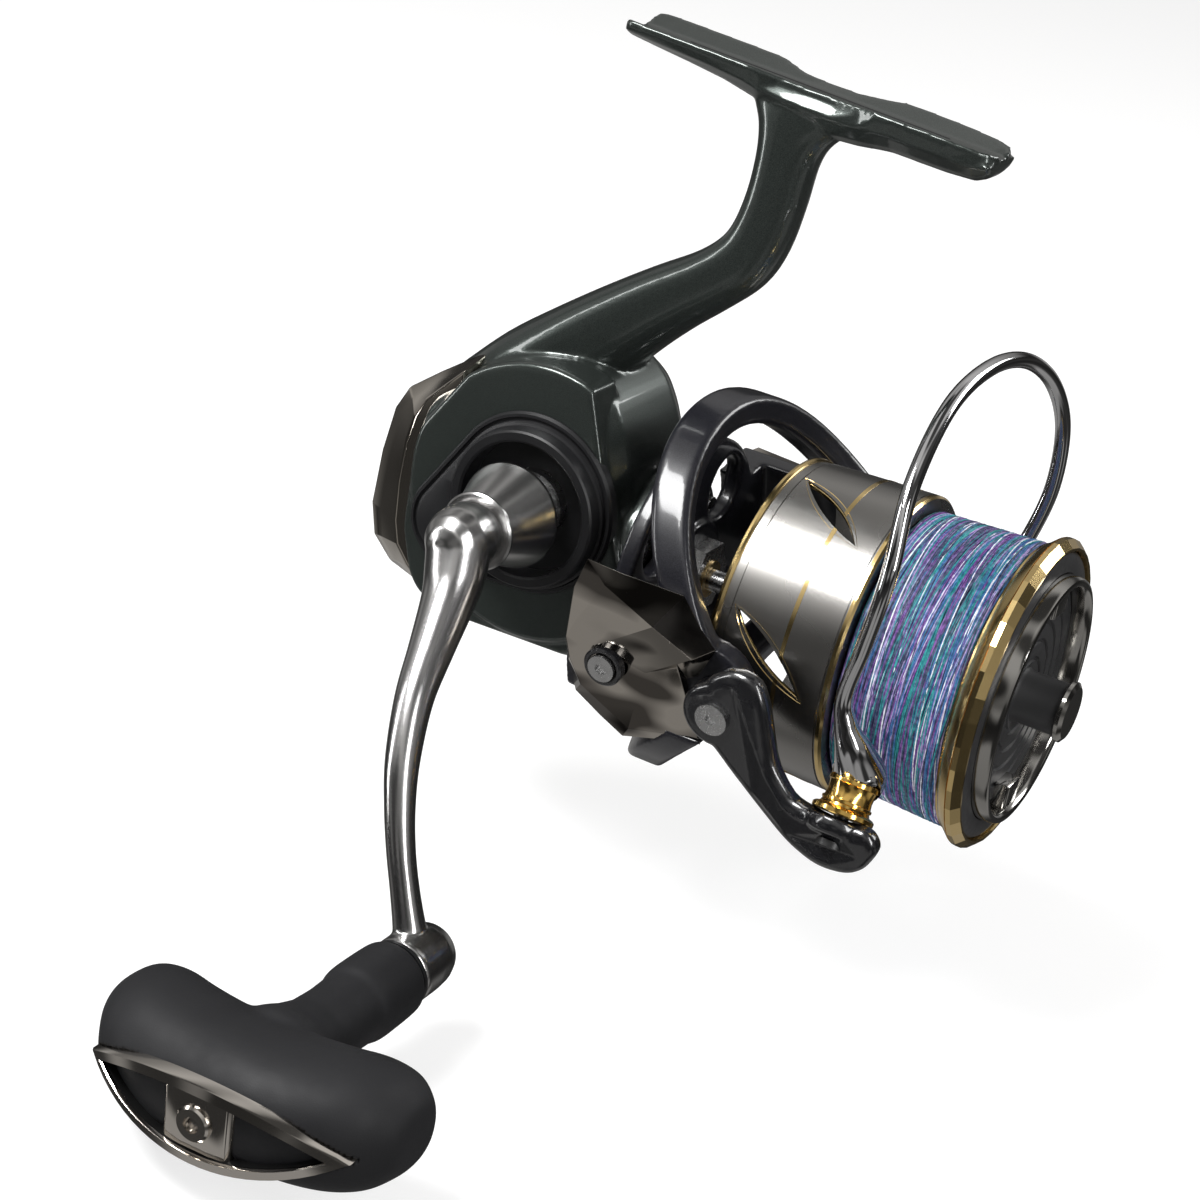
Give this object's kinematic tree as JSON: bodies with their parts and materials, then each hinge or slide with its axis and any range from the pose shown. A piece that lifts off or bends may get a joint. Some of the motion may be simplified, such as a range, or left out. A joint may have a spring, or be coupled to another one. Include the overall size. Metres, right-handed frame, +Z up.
{
  "type": "spinning reel",
  "caption": "Open-face fishing reel with a foot and leg, a folding wire bail on an open rotor, a line-filled spool with a front drag knob and a cranked handle with a T-shaped grip.",
  "frame": {"origin": "centre of the seat on the reel foot's upper face", "axes": "+X forward along the spool axis, +Z up towards the rod, handle on the -Y side"},
  "size_m": [0.1259, 0.1637, 0.1414],
  "materials": {
    "bearing_steel": "ground bearing steel",
    "body_paint": "dark green-grey metallic gloss paint",
    "braid": "multi-colour braided line",
    "brass": "machined brass",
    "bush_plastic": "natural plastic",
    "cap_chrome": "bright nickel plating",
    "clutch_steel": "ground steel",
    "cover_chrome": "smoke-coloured bright plating",
    "felt": "greased felt",
    "gear_alloy": "machined alloy",
    "grip_rubber": "matte black rubber",
    "guard_chrome": "warm nickel-coloured bright plating",
    "holder_chrome": "mirror polished",
    "knob_black": "matte black",
    "lever_black": "gloss black",
    "lip_gold": "gold-coloured bright cut",
    "plate_black": "matte black reinforced plastic",
    "polished_alloy": "satin polished",
    "roller_gold": "gold-coloured hard coating",
    "rotor_black": "gloss black",
    "screw_black": "blackened steel",
    "screw_steel": "plain steel",
    "slider_alloy": "die cast",
    "spool_alloy": "silver satin anodised",
    "steel": "stainless steel",
    "trim_chrome": "smoke-coloured bright plating",
    "washer_black": "matte black",
    "wire_chrome": "mirror polished"
  },
  "bodies": {
    "frame": {"frame_housing": "body_paint", "side_plate": "plate_black", "rear_guard": "guard_chrome", "guard_screw": "steel", "drive_bearing_near": "bearing_steel", "drive_bearing_far": "bearing_steel", "pinion_bearing": "bearing_steel", "oneway_clutch": "clutch_steel", "nose_retainer": "steel", "retainer_screws": "steel", "guide_rods": "steel", "osc_pin": "steel"},
    "handle": {"drive_gear": "gear_alloy", "drive_shaft": "steel", "osc_drive_gear": "brass", "handle_cone": "polished_alloy", "handle_arm": "polished_alloy", "grip_spindle": "steel", "grip_washer": "washer_black", "grip_screw": "steel"},
    "grip": {"grip_rubber": "grip_rubber", "grip_cap": "cap_chrome", "grip_bearings": "bearing_steel"},
    "crank_gear": {"osc_gear": "brass"},
    "rotor": {"rotor_frame": "rotor_black", "arm_cover_near": "cover_chrome", "arm_cover_far": "cover_chrome", "cover_screws": "screw_steel", "pinion_gear": "brass", "rotor_nut": "steel", "bail_pivot_screws": "screw_black"},
    "bail": {"bail_lever": "lever_black", "bail_wire": "wire_chrome", "bail_holder": "holder_chrome", "roller_bush": "bush_plastic", "roller_screw": "screw_black"},
    "roller": {"line_roller": "roller_gold"},
    "shaft": {"main_shaft": "steel", "osc_slider": "slider_alloy", "slider_screw": "steel", "drag_plates": "steel"},
    "spool": {"spool_body": "spool_alloy", "lip_ring": "lip_gold", "line_winding": "braid", "drag_felts": "felt", "drag_clip": "steel"},
    "drag": {"drag_knob": "knob_black", "drag_knob_trim": "trim_chrome", "drag_knob_cap": "trim_chrome", "drag_nut": "brass", "drag_spring": "steel"}
  },
  "joints": [
    {"name": "rotor_spin", "type": "hinge", "parent": "frame", "child": "rotor", "pos_m": [0, 0, -0.083], "axis": [1, 0, 0], "continuous": true},
    {"name": "handle_spin", "type": "hinge", "parent": "frame", "child": "handle", "pos_m": [-0.0275, 0, -0.0738], "axis": [0, 1, 0], "continuous": true},
    {"name": "crank_spin", "type": "hinge", "parent": "frame", "child": "crank_gear", "pos_m": [-0.0409, 0.0076, -0.0812], "axis": [0, 1, 0], "continuous": true},
    {"name": "grip_spin", "type": "hinge", "parent": "handle", "child": "grip", "pos_m": [-0.00723, -0.1, -0.12772], "axis": [0, 1, 0], "continuous": true},
    {"name": "bail_pivot", "type": "hinge", "parent": "rotor", "child": "bail", "pos_m": [0.0175, 0, -0.083], "axis": [0, 0.9816, 0.1908], "range_deg": [0, 105]},
    {"name": "roller_spin", "type": "hinge", "parent": "bail", "child": "roller", "pos_m": [0.0406, -0.03039, -0.09543], "axis": [0, 0.5, 0.866], "continuous": true},
    {"name": "shaft_slide", "type": "slide", "parent": "frame", "child": "shaft", "axis": [1, 0, 0], "range_m": [-0.011, 0.004]},
    {"name": "spool_spin", "type": "hinge", "parent": "shaft", "child": "spool", "pos_m": [0.0412, 0, -0.083], "axis": [1, 0, 0], "continuous": true},
    {"name": "drag_turn", "type": "hinge", "parent": "shaft", "child": "drag", "pos_m": [0.056, 0, -0.083], "axis": [1, 0, 0], "range_deg": [-180, 180]}
  ],
  "couplings": [
    {"joint": "handle_spin", "follows": "rotor_spin", "ratio": 0.19231},
    {"joint": "crank_spin", "follows": "rotor_spin", "ratio": -0.096154}
  ]
}
